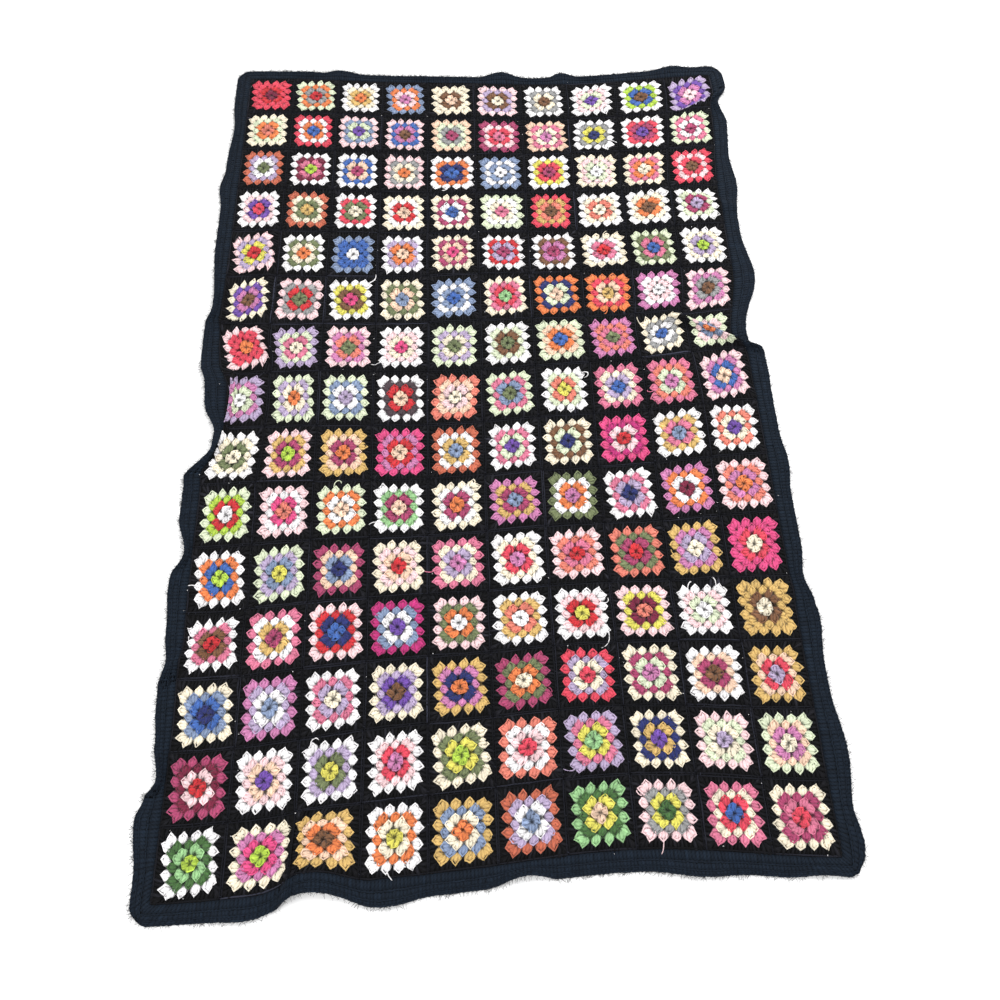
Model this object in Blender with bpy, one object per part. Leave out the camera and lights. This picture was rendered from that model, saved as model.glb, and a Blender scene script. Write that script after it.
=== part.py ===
"""Granny square blanket, laid out flat with its own folds and rippled edges.

Two crocheted pieces: the panel of joined squares and the border worked round
it. Both follow one surface, lie(across, along), which says where each point
of the cloth lies. across and along count squares: 0 to 10 from the left seam
to the right one, and 0 to 15 from the far seam to the near one; the border
lies outside those ranges. All other sizes are in metres.
"""

import bpy
import bmesh
import numpy as np

# Driving dimensions
SQUARES_ACROSS = 10
SQUARES_ALONG = 15
SQUARE_WIDTH = 0.113      # seam to seam, across the blanket
SQUARE_LENGTH = 0.1205    # seam to seam, along the blanket: the squares hang a little long
BORDER_WIDTH = 0.034      # crocheted rows round the joined squares
CORNER_ROUNDING = 0.62    # 0 keeps the border's corners square, 0.5 makes them quarter discs
THICKNESS = 0.004         # crochet in a medium yarn
GAP = 0.0003              # clearance between the panel and the border
MM = 0.001
SQUARE_CELLS = 4          # grid cells across each square, before the flat ones are joined
BORDER_CELLS = 3          # grid cells across the border
FLAT_ENOUGH = np.radians(0.5)

# Soft pulls that have moved the cloth off an even grid as it was laid. Each has
# its centre and how far it reaches, in squares, and how far it moves the cloth
# at its centre, in millimetres: to the right, and up towards the far end.
PULLS = [
    # across  along  wide  long  right   up
    (0.0,      1.5,   4.5,  7.0,     5,   35),    # the far left rides up
    (0.0,     13.0,   4.5,  7.0,     5,  -35),    # the near left has slid down
    (7.0,      0.0,   3.5,  6.0,     5,  -20),    # right of the middle closes up
    (7.0,     15.0,   3.5,  5.0,     5,   25),
    (10.0,     8.0,   3.0,  4.5,     0,   20),    # the right side rides up
    (10.0,     0.0,   3.5,  3.5,    30,    0),    # the far right corner is pulled out
    (10.0,     6.5,   3.0,  1.5,   -20,    0),    # drawn in at the right pleat
    (0.25,     7.5,   2.0,  1.5,    20,    0),    # drawn in at the left pleat
    (4.0,      9.0,   3.0,  4.5,     0,  -15),    # the middle has sunk
]

# Waves of the edges. at: place along the edge, in squares; before, after: how
# far the wave runs each way; out: how far the edge is pushed out (in, if
# negative) and lift: how high it stands, in millimetres; deep: how far the
# wave reaches past the border into the squares, in squares.
EDGE_WAVES = [
    # edge      at  before  after   out  lift  deep
    ("left",   1.5,   0.8,   0.8,   -9,   6,  0.0),
    ("left",   3.0,   0.5,   0.5,    7,   4,  0.0),
    ("left",   5.75,  1.5,   0.25, -17,   9,  0.0),
    ("left",   7.1,   0.9,   0.9,    4,   5,  0.1),
    ("left",   8.3,   0.8,   0.5,  -42,  12,  0.2),
    ("left",   8.65,  0.5,   0.2,  -16,   9,  0.1),
    ("left",  10.1,   0.6,   0.3,  -21,  11,  0.0),
    ("left",  10.6,   0.4,   0.6,    4,   3,  0.0),
    ("left",  11.8,   0.5,   0.3,  -10,   9,  0.0),
    ("left",  12.9,   0.6,   0.7,   -9,   6,  0.0),
    ("left",  13.4,   0.5,   0.2,  -19,  12,  0.0),
    ("left",  13.9,   0.3,   0.8,   10,   4,  0.0),
    ("right",  0.95,  0.4,   0.4,  -17,   9,  0.0),
    ("right",  3.1,   0.9,   0.7,   11,   6,  0.0),
    ("right",  5.4,   1.2,   0.8,   13,   6,  0.0),
    ("right",  6.5,   0.6,   0.25,  -6,   8,  0.2),
    ("right",  7.1,   0.4,   0.9,   10,   5,  0.2),
    ("right",  9.2,   0.6,   0.5,    5,   5,  0.0),
    ("right", 11.1,   0.6,   0.3,  -11,   9,  0.0),
    ("right", 11.7,   0.4,   0.7,    6,   4,  0.0),
    ("right", 13.6,   0.9,   0.9,    8,   7,  0.0),
    ("right", 14.8,   0.5,   0.4,    7,   3,  0.0),
    ("far",    4.0,   7.0,   9.0,  -10,   0,  0.0),
    ("far",    1.3,   0.7,   0.5,   -6,   7,  0.0),
    ("far",    2.0,   0.4,   0.6,    7,   4,  0.0),
    ("far",    3.9,   0.5,   0.5,   -5,   5,  0.0),
    ("far",    5.6,   0.5,   0.5,   10,   8,  0.0),
    ("far",    6.3,   0.3,   0.4,   -5,   3,  0.0),
    ("far",    6.9,   0.3,   0.4,    8,   6,  0.0),
    ("far",    7.5,   0.3,   0.4,   -8,   7,  0.0),
    ("far",    9.2,   0.5,   0.5,    4,   6,  0.0),
    ("near",   1.3,   0.6,   0.5,    3,   5,  0.0),
    ("near",   2.3,   0.9,   0.9,  -25,  12,  1.3),
    ("near",   3.4,   0.7,   0.7,    9,   5,  0.0),
    ("near",   5.4,   0.6,   0.5,  -12,  10,  0.0),
    ("near",   7.9,   0.8,   0.8,    7,   4,  0.0),
    ("near",   9.7,   0.6,   0.8,   -6,   5,  0.0),
]

# Pleats and creases, each along a straight line in the cloth, in squares. The
# other columns are in millimetres. height: how high the pinched cloth stands;
# half: half the width of cloth in it; take: how much width it takes up; reach:
# how far off the cloth beside it is drawn in; fade: how far it runs on past its ends.
CREASES = [
    # from across, along   to across, along   height  half  take  reach  fade
    (10.15,  6.90,           8.95,  6.20,         14,   28,   30,   140,    40),
    (10.45,  0.40,           9.45,  1.00,          9,   22,   18,   110,    35),
    (0.26,   7.20,           0.24,  7.95,         15,   28,   34,   130,    50),
    (-0.20,  5.85,           1.10,  6.50,          6,   26,   10,   110,    45),
    (-0.20, 11.85,           1.00, 11.10,          7,   30,   10,   110,    45),
    (1.92,  15.40,           2.08, 14.25,         10,   22,   16,   110,    50),
    (8.90,   3.15,          10.20,  3.60,          7,   30,   10,   110,    45),
    (-0.20,  8.75,           1.40,  9.10,          7,   40,    6,   120,    60),
    (9.00,  11.10,          10.30, 11.30,          8,   40,    6,   120,    60),
]

# Broad soft swells of the laid cloth: centre, half widths in squares, and height
# in millimetres. The line of each swell is turned by turn degrees.
SWELLS = [
    # across  along  wide  long  turn  height
    (2.6,      1.6,   1.6,  0.8,   20,   7),
    (6.8,      2.2,   2.2,  0.7,  -15,   6),
    (4.4,      4.6,   2.0,  0.8,   10,   6),
    (7.6,      6.9,   2.6,  0.7,   14,  10),
    (2.4,      7.2,   2.4,  0.8,   -8,   8),
    (5.2,      9.6,   2.4,  0.9,   12,   6),
    (2.0,     11.8,   1.8,  0.9,  -25,   8),
    (8.0,     12.0,   2.0,  0.8,   18,   7),
    (5.6,     13.6,   2.2,  0.8,   -6,   8),
]


def hump(t):
    """A smooth hump: 1 at t = 0, falling to exactly 0 at t = -1 and 1."""
    return np.where(np.abs(t) < 1, np.cos(np.pi / 2 * np.clip(t, -1, 1)) ** 2, 0)


def ramp(t):
    """A smooth step: 0 up to t = 0, and 1 from t = 1."""
    t = np.clip(t, 0, 1)
    return t * t * (3 - 2 * t)


def pulls(across, along):
    """Shift from the soft pulls: a hump of the distance from each one's centre."""
    x = np.zeros_like(across)
    y = np.zeros_like(across)
    for at_across, at_along, wide, long, right, up in PULLS:
        strength = hump(np.hypot((across - at_across) / wide, (along - at_along) / long))
        x += right * MM * strength
        y += up * MM * strength
    return x, y


def edge_waves(across, along):
    """Shift and lift of the border, from the table of waves.

    Each wave is a hump along its edge. It is strongest at the outer edge and
    dies out at its depth inside the seam.
    """
    width = BORDER_WIDTH / SQUARE_WIDTH
    length = BORDER_WIDTH / SQUARE_LENGTH
    sides = {
        "left": (-across, along, width, -1, 0),
        "right": (across - SQUARES_ACROSS, along, width, 1, 0),
        "far": (-along, across, length, 0, 1),
        "near": (along - SQUARES_ALONG, across, length, 0, -1),
    }
    x = np.zeros_like(across)
    y = np.zeros_like(across)
    z = np.zeros_like(across)
    for edge, at, before, after, out, lift, deep in EDGE_WAVES:
        outside, place, border, to_x, to_y = sides[edge]
        run = (place - at) / np.where(place < at, before, after)
        strength = hump(run) * ramp((outside + deep) / (border + deep))
        x += to_x * out * MM * strength
        y += to_y * out * MM * strength
        z += lift * MM * strength
    return x, y, z


def creases(x, y):
    """Shift and height from the creases, for cloth that lies at x, y on the even grid.

    beside is the distance from the crease's line. The height is a hump of it.
    The cloth on each side moves towards the line by half of what the crease
    takes up, all of it just past the crease and none of it at its reach.
    """
    move_x = np.zeros_like(x)
    move_y = np.zeros_like(x)
    z = np.zeros_like(x)
    for across_1, along_1, across_2, along_2, height, half, take, reach, fade in CREASES:
        start = np.array(even(across_1, along_1))
        line = np.array(even(across_2, along_2)) - start
        length = np.hypot(*line)
        line = line / length
        forward = (x - start[0]) * line[0] + (y - start[1]) * line[1]
        beside = (y - start[1]) * line[0] - (x - start[0]) * line[1]
        past_end = np.clip(np.maximum(-forward, forward - length), 0, None)
        strength = hump(past_end / (fade * MM))
        drawn = np.sin(np.pi / 2 * np.clip(beside / (half * MM), -1, 1))
        drawn = drawn * hump(beside / (reach * MM)) * strength * take * MM / 2
        move_x += line[1] * drawn
        move_y -= line[0] * drawn
        z += height * MM * hump(beside / (half * MM)) * strength
    return move_x, move_y, z


def swells(across, along):
    """Height of the broad swells: a hump of the distance from each one's centre."""
    z = np.zeros_like(across)
    for at_across, at_along, wide, long, turn, height in SWELLS:
        angle = np.radians(turn)
        right = across - at_across
        down = along - at_along
        u = (right * np.cos(angle) + down * np.sin(angle)) / wide
        v = (down * np.cos(angle) - right * np.sin(angle)) / long
        z += height * MM * hump(np.hypot(u, v))
    return z


def even(across, along):
    """Where a point would lie on an even grid, centred on the origin."""
    x = (across - SQUARES_ACROSS / 2) * SQUARE_WIDTH
    y = (SQUARES_ALONG / 2 - along) * SQUARE_LENGTH
    return x, y


def round_corners(across, along):
    """Where a point of the border goes when its square corners are worked round.

    u and v are the shares of the border's width outside the two seams. Each is
    shortened as the other grows, which rounds the corner's square off.
    """
    width = BORDER_WIDTH / SQUARE_WIDTH
    length = BORDER_WIDTH / SQUARE_LENGTH
    inner_across = np.clip(across, 0, SQUARES_ACROSS)
    inner_along = np.clip(along, 0, SQUARES_ALONG)
    u = (across - inner_across) / width
    v = (along - inner_along) / length
    return (inner_across + width * u * np.sqrt(1 - CORNER_ROUNDING * v ** 2),
            inner_along + length * v * np.sqrt(1 - CORNER_ROUNDING * u ** 2))


def lie(across, along):
    """Where the underside of the cloth lies: the even grid, and all the shifts and heights."""
    x, y = even(*round_corners(across, along))
    pull_x, pull_y = pulls(across, along)
    wave_x, wave_y, wave_z = edge_waves(across, along)
    crease_x, crease_y, crease_z = creases(x, y)
    z = np.maximum(wave_z, 0) + crease_z + swells(across, along)
    return x + pull_x + wave_x + crease_x, y + pull_y + wave_y + crease_y, z


def cloth_piece(name, across_lines, along_lines, hole, material):
    """One closed sheet over the grid lines, without the cells inside hole.

    A flat grid is laid on the surface, its flat cells are joined, and it is then
    thickened straight up. hole is how many lines in from every side the empty
    middle starts; 0 leaves nothing out.
    """
    mesh = bpy.data.meshes.new(name)
    work = bmesh.new()
    bmesh.ops.create_grid(work, x_segments=len(across_lines) - 1,
                          y_segments=len(along_lines) - 1, size=0.5)
    places = np.array([vertex.co[:2] for vertex in work.verts])
    column = np.rint((places[:, 0] + 0.5) * (len(across_lines) - 1)).astype(int)
    row = np.rint((0.5 - places[:, 1]) * (len(along_lines) - 1)).astype(int)
    across = across_lines[column]
    along = along_lines[row]
    x, y, z = lie(across, along)
    if hole:
        on_seam_x = (column == hole) | (column == len(across_lines) - 1 - hole)
        on_seam_y = (row == hole) | (row == len(along_lines) - 1 - hole)
        x += GAP * np.sign(across - SQUARES_ACROSS / 2) * on_seam_x
        y -= GAP * np.sign(along - SQUARES_ALONG / 2) * on_seam_y
    for vertex, place in zip(work.verts, np.column_stack([x, y, z])):
        vertex.co = place
    if hole:
        work.verts.ensure_lookup_table()
        inside = ((column > hole) & (column < len(across_lines) - 1 - hole)
                  & (row > hole) & (row < len(along_lines) - 1 - hole))
        bmesh.ops.delete(work, geom=[work.verts[k] for k in np.flatnonzero(inside)],
                         context="VERTS")
    bmesh.ops.dissolve_limit(work, angle_limit=FLAT_ENOUGH, verts=work.verts[:],
                             edges=work.edges[:], use_dissolve_boundaries=False)
    bmesh.ops.triangulate(work, faces=work.faces[:])
    top = bmesh.ops.extrude_face_region(work, geom=work.faces[:], use_keep_orig=True)
    bmesh.ops.translate(work, vec=(0, 0, THICKNESS),
                        verts=[part for part in top["geom"] if isinstance(part, bmesh.types.BMVert)])
    bmesh.ops.recalc_face_normals(work, faces=work.faces[:])
    work.to_mesh(mesh)
    work.free()
    mesh.materials.append(material)
    piece = bpy.data.objects.new(name, mesh)
    collection.objects.link(piece)
    return piece


def yarn(name, color):
    """A matt yarn of one colour."""
    material = bpy.data.materials.new(name)
    material.use_nodes = True
    shader = material.node_tree.nodes["Principled BSDF"]
    shader.inputs["Base Color"].default_value = (*color, 1)
    shader.inputs["Roughness"].default_value = 0.95
    return material


for old in list(bpy.data.objects):
    bpy.data.objects.remove(old)
collection = bpy.data.collections.new("granny_square_blanket")
bpy.context.scene.collection.children.link(collection)

squares_across_lines = np.linspace(0, SQUARES_ACROSS, SQUARES_ACROSS * SQUARE_CELLS + 1)
squares_along_lines = np.linspace(0, SQUARES_ALONG, SQUARES_ALONG * SQUARE_CELLS + 1)
panel = cloth_piece("joined_squares", squares_across_lines, squares_along_lines, 0,
                    yarn("square yarns", (0.42, 0.25, 0.27)))
border_steps = np.linspace(1, 0, BORDER_CELLS, endpoint=False)
rim_across = border_steps * BORDER_WIDTH / SQUARE_WIDTH
rim_along = border_steps * BORDER_WIDTH / SQUARE_LENGTH
border = cloth_piece(
    "crochet_border",
    np.concatenate([-rim_across, squares_across_lines, SQUARES_ACROSS + rim_across[::-1]]),
    np.concatenate([-rim_along, squares_along_lines, SQUARES_ALONG + rim_along[::-1]]),
    BORDER_CELLS,
    yarn("border yarn", (0.012, 0.014, 0.022)))

# The origin is under the middle of the whole blanket, on the surface it lies on.
outline = np.array([vertex.co for vertex in border.data.vertices])
middle = (outline.min(axis=0) + outline.max(axis=0)) / 2
for piece in (panel, border):
    piece.location = (-middle[0], -middle[1], 0)
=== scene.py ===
"""Granny square blanket: the looks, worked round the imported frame.

The blanket lies on its own folds, as lie(across, along) gives them. across and
along count squares: 0 to 10 from the left seam to the right one, and 0 to 15
from the far seam to the near one. Each stitch is a short tube of yarn, laid
out flat in its own square and then carried onto the cloth. All other sizes are
in metres, or in millimetres where a table says so.
"""

import bpy
import numpy as np
from mathutils import Matrix, Vector


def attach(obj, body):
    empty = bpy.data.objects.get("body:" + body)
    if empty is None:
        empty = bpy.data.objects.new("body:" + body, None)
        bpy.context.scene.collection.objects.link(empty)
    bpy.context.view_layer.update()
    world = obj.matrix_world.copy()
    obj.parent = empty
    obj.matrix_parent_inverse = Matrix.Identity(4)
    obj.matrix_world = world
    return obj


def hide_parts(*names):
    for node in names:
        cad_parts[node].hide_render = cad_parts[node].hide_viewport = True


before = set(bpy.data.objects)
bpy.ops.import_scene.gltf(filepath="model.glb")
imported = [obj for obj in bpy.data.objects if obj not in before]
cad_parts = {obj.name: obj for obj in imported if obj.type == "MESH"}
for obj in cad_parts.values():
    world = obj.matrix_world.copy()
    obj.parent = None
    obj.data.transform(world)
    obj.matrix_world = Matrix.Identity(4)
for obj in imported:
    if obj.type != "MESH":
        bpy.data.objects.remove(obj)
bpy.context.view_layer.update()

MM = 0.001
random = np.random.default_rng(150)


# ---- The ground of the joined squares ----
# One thin sheet on the folds of the cloth. It is what shows between the
# stitches from above, and the back of the work from below: each round's own
# yarn, with the shade of the stitches that stand on it painted in, and a little painted shade on the back.

SQUARES_ACROSS = 10
SQUARES_ALONG = 15
SQUARE_WIDTH = 0.113
SQUARE_LENGTH = 0.1205
BORDER_WIDTH = 0.034
CORNER_ROUNDING = 0.62
BORDER_ACROSS = BORDER_WIDTH / SQUARE_WIDTH
BORDER_ALONG = BORDER_WIDTH / SQUARE_LENGTH

# Soft pulls that have moved the cloth off an even grid as it was laid. Each has
# its centre and how far it reaches, in squares, and how far it moves the cloth
# at its centre, in millimetres: to the right, and up towards the far end.
PULLS = [
    # across  along  wide  long  right   up
    (0.0,      1.5,   4.5,  7.0,     5,   35),    # the far left rides up
    (0.0,     13.0,   4.5,  7.0,     5,  -35),    # the near left has slid down
    (7.0,      0.0,   3.5,  6.0,     5,  -20),    # right of the middle closes up
    (7.0,     15.0,   3.5,  5.0,     5,   25),    # and so does the near end below it
    (10.0,     8.0,   3.0,  4.5,     0,   20),    # the right side rides up
    (10.0,     0.0,   3.5,  3.5,    30,    0),    # the far right corner is pulled out
    (10.0,     6.5,   3.0,  1.5,   -20,    0),    # drawn in at the right pleat
    (0.25,     7.5,   2.0,  1.5,    20,    0),    # drawn in at the left pleat
    (4.0,      9.0,   3.0,  4.5,     0,  -15),    # the middle has sunk
]

# Waves of the edges. at: place along the edge, in squares; before, after: how
# far the wave runs each way; out: how far the edge is pushed out (in, if
# negative) and lift: how high it stands, in millimetres; deep: how far the
# wave reaches past the border into the squares, in squares.
EDGE_WAVES = [
    # edge      at  before  after   out  lift  deep
    ("left",   1.5,   0.8,   0.8,   -9,   6,  0.0),
    ("left",   3.0,   0.5,   0.5,    7,   4,  0.0),
    ("left",   5.75,  1.5,   0.25, -17,   9,  0.0),
    ("left",   7.1,   0.9,   0.9,    4,   5,  0.1),
    ("left",   8.3,   0.8,   0.5,  -42,  12,  0.2),
    ("left",   8.65,  0.5,   0.2,  -16,   9,  0.1),
    ("left",  10.1,   0.6,   0.3,  -21,  11,  0.0),
    ("left",  10.6,   0.4,   0.6,    4,   3,  0.0),
    ("left",  11.8,   0.5,   0.3,  -10,   9,  0.0),
    ("left",  12.9,   0.6,   0.7,   -9,   6,  0.0),
    ("left",  13.4,   0.5,   0.2,  -19,  12,  0.0),
    ("left",  13.9,   0.3,   0.8,   10,   4,  0.0),
    ("right",  0.95,  0.4,   0.4,  -17,   9,  0.0),
    ("right",  3.1,   0.9,   0.7,   11,   6,  0.0),
    ("right",  5.4,   1.2,   0.8,   13,   6,  0.0),
    ("right",  6.5,   0.6,   0.25,  -6,   8,  0.2),
    ("right",  7.1,   0.4,   0.9,   10,   5,  0.2),
    ("right",  9.2,   0.6,   0.5,    5,   5,  0.0),
    ("right", 11.1,   0.6,   0.3,  -11,   9,  0.0),
    ("right", 11.7,   0.4,   0.7,    6,   4,  0.0),
    ("right", 13.6,   0.9,   0.9,    8,   7,  0.0),
    ("right", 14.8,   0.5,   0.4,    7,   3,  0.0),
    ("far",    4.0,   7.0,   9.0,  -10,   0,  0.0),
    ("far",    1.3,   0.7,   0.5,   -6,   7,  0.0),
    ("far",    2.0,   0.4,   0.6,    7,   4,  0.0),
    ("far",    3.9,   0.5,   0.5,   -5,   5,  0.0),
    ("far",    5.6,   0.5,   0.5,   10,   8,  0.0),
    ("far",    6.3,   0.3,   0.4,   -5,   3,  0.0),
    ("far",    6.9,   0.3,   0.4,    8,   6,  0.0),
    ("far",    7.5,   0.3,   0.4,   -8,   7,  0.0),
    ("far",    9.2,   0.5,   0.5,    4,   6,  0.0),
    ("near",   1.3,   0.6,   0.5,    3,   5,  0.0),
    ("near",   2.3,   0.9,   0.9,  -25,  12,  1.3),
    ("near",   3.4,   0.7,   0.7,    9,   5,  0.0),
    ("near",   5.4,   0.6,   0.5,  -12,  10,  0.0),
    ("near",   7.9,   0.8,   0.8,    7,   4,  0.0),
    ("near",   9.7,   0.6,   0.8,   -6,   5,  0.0),
]

# Pleats and creases, each along a straight line in the cloth, in squares. The
# other columns are in millimetres. height: how high the pinched cloth stands;
# half: half the width of cloth in it; take: how much width it takes up; reach:
# how far off the cloth beside it is drawn in; fade: how far it runs on past its ends.
CREASES = [
    # from across, along   to across, along   height  half  take  reach  fade
    (10.15,  6.90,           8.95,  6.20,         14,   28,   30,   140,    40),
    (10.45,  0.40,           9.45,  1.00,          9,   22,   18,   110,    35),
    (0.26,   7.20,           0.24,  7.95,         15,   28,   34,   130,    50),
    (-0.20,  5.85,           1.10,  6.50,          6,   26,   10,   110,    45),
    (-0.20, 11.85,           1.00, 11.10,          7,   30,   10,   110,    45),
    (1.92,  15.40,           2.08, 14.25,         10,   22,   16,   110,    50),
    (8.90,   3.15,          10.20,  3.60,          7,   30,   10,   110,    45),
    (-0.20,  8.75,           1.40,  9.10,          7,   40,    6,   120,    60),
    (9.00,  11.10,          10.30, 11.30,          8,   40,    6,   120,    60),
]

# Broad soft swells of the laid cloth: centre, half widths in squares, and height
# in millimetres. The line of each swell is turned by turn degrees.
SWELLS = [
    # across  along  wide  long  turn  height
    (2.6,      1.6,   1.6,  0.8,   20,   7),
    (6.8,      2.2,   2.2,  0.7,  -15,   6),
    (4.4,      4.6,   2.0,  0.8,   10,   6),
    (7.6,      6.9,   2.6,  0.7,   14,  10),
    (2.4,      7.2,   2.4,  0.8,   -8,   8),
    (5.2,      9.6,   2.4,  0.9,   12,   6),
    (2.0,     11.8,   1.8,  0.9,  -25,   8),
    (8.0,     12.0,   2.0,  0.8,   18,   7),
    (5.6,     13.6,   2.2,  0.8,   -6,   8),
]


def hump(t):
    """A smooth hump: 1 at t = 0, falling to exactly 0 at t = -1 and 1."""
    return np.where(np.abs(t) < 1, np.cos(np.pi / 2 * np.clip(t, -1, 1)) ** 2, 0)


def ramp(t):
    """A smooth step: 0 up to t = 0, and 1 from t = 1."""
    t = np.clip(t, 0, 1)
    return t * t * (3 - 2 * t)


def pulls(across, along):
    """Shift from the soft pulls: a hump of the distance from each one's centre."""
    x = np.zeros_like(across)
    y = np.zeros_like(across)
    for at_across, at_along, wide, long, right, up in PULLS:
        strength = hump(np.hypot((across - at_across) / wide, (along - at_along) / long))
        x += right * MM * strength
        y += up * MM * strength
    return x, y


def edge_waves(across, along):
    """Shift and lift of the border: humps along the edges, dying out inside the seam."""
    sides = {
        "left": (-across, along, BORDER_ACROSS, -1, 0),
        "right": (across - SQUARES_ACROSS, along, BORDER_ACROSS, 1, 0),
        "far": (-along, across, BORDER_ALONG, 0, 1),
        "near": (along - SQUARES_ALONG, across, BORDER_ALONG, 0, -1),
    }
    x = np.zeros_like(across)
    y = np.zeros_like(across)
    z = np.zeros_like(across)
    for edge, at, before, after, out, lift, deep in EDGE_WAVES:
        outside, place, border, to_x, to_y = sides[edge]
        run = (place - at) / np.where(place < at, before, after)
        strength = hump(run) * ramp((outside + deep) / (border + deep))
        x += to_x * out * MM * strength
        y += to_y * out * MM * strength
        z += lift * MM * strength
    return x, y, z


def creases(x, y):
    """Shift and height from the creases, for cloth that lies at x, y on the even grid.

    beside is the distance from the crease's line. The height is a hump of it.
    The cloth on each side moves towards the line by half of what the crease
    takes up, all of it just past the crease and none of it at its reach.
    """
    move_x = np.zeros_like(x)
    move_y = np.zeros_like(x)
    z = np.zeros_like(x)
    for across_1, along_1, across_2, along_2, height, half, take, reach, fade in CREASES:
        start = np.array(even(across_1, along_1))
        line = np.array(even(across_2, along_2)) - start
        length = np.hypot(*line)
        line = line / length
        forward = (x - start[0]) * line[0] + (y - start[1]) * line[1]
        beside = (y - start[1]) * line[0] - (x - start[0]) * line[1]
        past_end = np.clip(np.maximum(-forward, forward - length), 0, None)
        strength = hump(past_end / (fade * MM))
        drawn = np.sin(np.pi / 2 * np.clip(beside / (half * MM), -1, 1))
        drawn = drawn * hump(beside / (reach * MM)) * strength * take * MM / 2
        move_x += line[1] * drawn
        move_y -= line[0] * drawn
        z += height * MM * hump(beside / (half * MM)) * strength
    return move_x, move_y, z


def swells(across, along):
    """Height of the broad swells: a hump of the distance from each one's centre."""
    z = np.zeros_like(across)
    for at_across, at_along, wide, long, turn, height in SWELLS:
        angle = np.radians(turn)
        right = across - at_across
        down = along - at_along
        u = (right * np.cos(angle) + down * np.sin(angle)) / wide
        v = (down * np.cos(angle) - right * np.sin(angle)) / long
        z += height * MM * hump(np.hypot(u, v))
    return z


def even(across, along):
    """Where a point would lie on an even grid, centred on the origin."""
    x = (across - SQUARES_ACROSS / 2) * SQUARE_WIDTH
    y = (SQUARES_ALONG / 2 - along) * SQUARE_LENGTH
    return x, y


def round_corners(across, along):
    """Where a point of the border goes when its square corners are worked round.

    u and v are the shares of the border's width outside the two seams. Each is
    shortened as the other grows, which rounds the corner's square off.
    """
    inner_across = np.clip(across, 0, SQUARES_ACROSS)
    inner_along = np.clip(along, 0, SQUARES_ALONG)
    u = (across - inner_across) / BORDER_ACROSS
    v = (along - inner_along) / BORDER_ALONG
    return (inner_across + BORDER_ACROSS * u * np.sqrt(1 - CORNER_ROUNDING * v ** 2),
            inner_along + BORDER_ALONG * v * np.sqrt(1 - CORNER_ROUNDING * u ** 2))


def lie(across, along):
    """Where the underside of the cloth lies: the even grid, and all the shifts and heights."""
    x, y = even(*round_corners(across, along))
    pull_x, pull_y = pulls(across, along)
    wave_x, wave_y, wave_z = edge_waves(across, along)
    crease_x, crease_y, crease_z = creases(x, y)
    z = np.maximum(wave_z, 0) + crease_z + swells(across, along)
    place = np.stack([x + pull_x + wave_x + crease_x, y + pull_y + wave_y + crease_y, z], axis=-1)
    return place - middle


# The origin is under the middle of the whole blanket, on the surface it lies on.
middle = np.zeros(3)
rim = np.array([1, 2 / 3, 1 / 3])
quarters_across = np.linspace(0, SQUARES_ACROSS, 4 * SQUARES_ACROSS + 1)
quarters_along = np.linspace(0, SQUARES_ALONG, 4 * SQUARES_ALONG + 1)
outline = lie(*np.meshgrid(
    np.concatenate([-rim * BORDER_ACROSS, quarters_across,
                    SQUARES_ACROSS + rim[::-1] * BORDER_ACROSS]),
    np.concatenate([-rim * BORDER_ALONG, quarters_along,
                    SQUARES_ALONG + rim[::-1] * BORDER_ALONG])))
middle[:2] = (outline.min(axis=(0, 1)) + outline.max(axis=(0, 1)))[:2] / 2


def on_cloth(across, along, height):
    """A place at a height above the cloth, measured square to it.

    The cloth's two slopes are the steps to two more points a hair away, and
    their cross product points straight out of it. It is kept pointing up
    where the border's rounded corner turns in on itself.
    """
    hair = 0.001
    place = lie(across, along)
    right = lie(across + hair, along) - place
    near = lie(across, along + hair) - place
    up = np.cross(near, right)
    up /= np.linalg.norm(up, axis=-1, keepdims=True)
    return place + np.where(up[..., 2:] < 0, -up, up) * height[..., None]


def new_mesh(name, points, quads, triangles, material):
    """A smooth mesh: points is (n, 3), and the four- and three-sided faces count its rows."""
    mesh = bpy.data.meshes.new(name)
    corners = np.concatenate([quads.ravel(), triangles.ravel()])
    sizes = np.repeat([4, 3], [len(quads), len(triangles)])
    mesh.vertices.add(len(points))
    mesh.vertices.foreach_set("co", points.astype(np.float32).ravel())
    mesh.loops.add(len(corners))
    mesh.loops.foreach_set("vertex_index", corners.astype(np.int32))
    mesh.polygons.add(len(sizes))
    mesh.polygons.foreach_set("loop_start", (np.cumsum(sizes) - sizes).astype(np.int32))
    mesh.update(calc_edges=True)
    mesh.shade_smooth()
    mesh.materials.append(material)
    piece = bpy.data.objects.new(name, mesh)
    bpy.context.scene.collection.objects.link(piece)
    return piece


def set_colours(piece, colours):
    """Gives each point its yarn's colour, with its painted light as the alpha: how open it lies to the
    light.
    """
    attribute = piece.data.color_attributes.new("yarn", "FLOAT_COLOR", "POINT")
    attribute.data.foreach_set("color", colours.astype(np.float32).ravel())


def set_map(piece, name, places):
    """Adds a UV map: places has two numbers for each corner of each face, in order."""
    layer = piece.data.uv_layers.new(name=name, do_init=False)
    layer.uv.foreach_set("vector", places.astype(np.float32).ravel())


def linear(colour):
    """The shader's value of a colour given as red, green and blue from 0 to 255."""
    value = np.array(colour) / 255
    return np.where(value < 0.04045, value / 12.92, ((value + 0.055) / 1.055) ** 2.4)


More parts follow.
